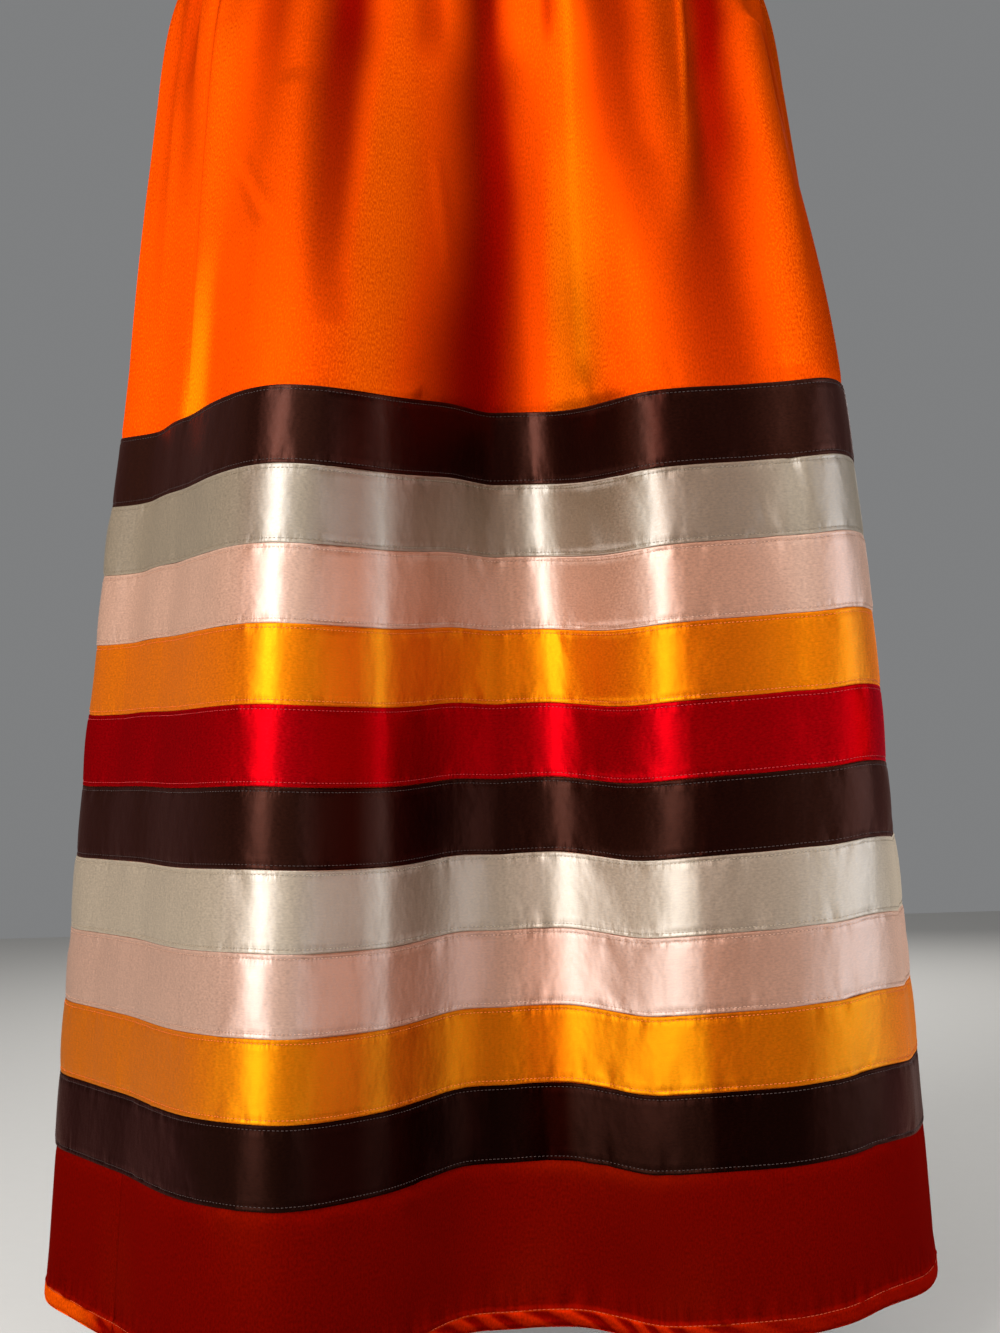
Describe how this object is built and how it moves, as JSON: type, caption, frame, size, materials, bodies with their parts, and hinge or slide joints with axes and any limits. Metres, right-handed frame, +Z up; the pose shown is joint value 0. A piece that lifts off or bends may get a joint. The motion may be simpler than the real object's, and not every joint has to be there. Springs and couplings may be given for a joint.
{
  "type": "ribbon skirt",
  "caption": "Long gathered satin skirt with an elastic waistband, satin ribbons sewn round it edge to edge and a narrow turned hem, held open in folds as when worn.",
  "frame": {"origin": "centre of the waist opening, at the waistband's upper edge", "axes": "+Z up along the wearer, -Y out of the front of the skirt, +X towards the right-hand side seen from the front"},
  "size_m": [0.6268, 0.4564, 1.0103],
  "materials": {
    "satin_orange": "glossy polyester satin, deep red in shade",
    "ribbon_brown": "glossy satin ribbon, dark brown",
    "ribbon_silver": "glossy satin ribbon, silver grey",
    "ribbon_pink": "glossy satin ribbon, pale pink",
    "ribbon_gold": "glossy satin ribbon, golden yellow",
    "ribbon_red": "glossy satin ribbon, red",
    "ribbon_ivory": "glossy satin ribbon, silvery ivory"
  },
  "bodies": {
    "root": {"waistband": "satin_orange", "front_panel": "satin_orange", "back_panel": "satin_orange", "ribbon_01_brown": "ribbon_brown", "ribbon_02_silver": "ribbon_silver", "ribbon_03_pink": "ribbon_pink", "ribbon_04_gold": "ribbon_gold", "ribbon_05_red": "ribbon_red", "ribbon_06_brown": "ribbon_brown", "ribbon_07_ivory": "ribbon_ivory", "ribbon_08_pink": "ribbon_pink", "ribbon_09_gold": "ribbon_gold", "ribbon_10_brown": "ribbon_brown"}
  },
  "joints": []
}
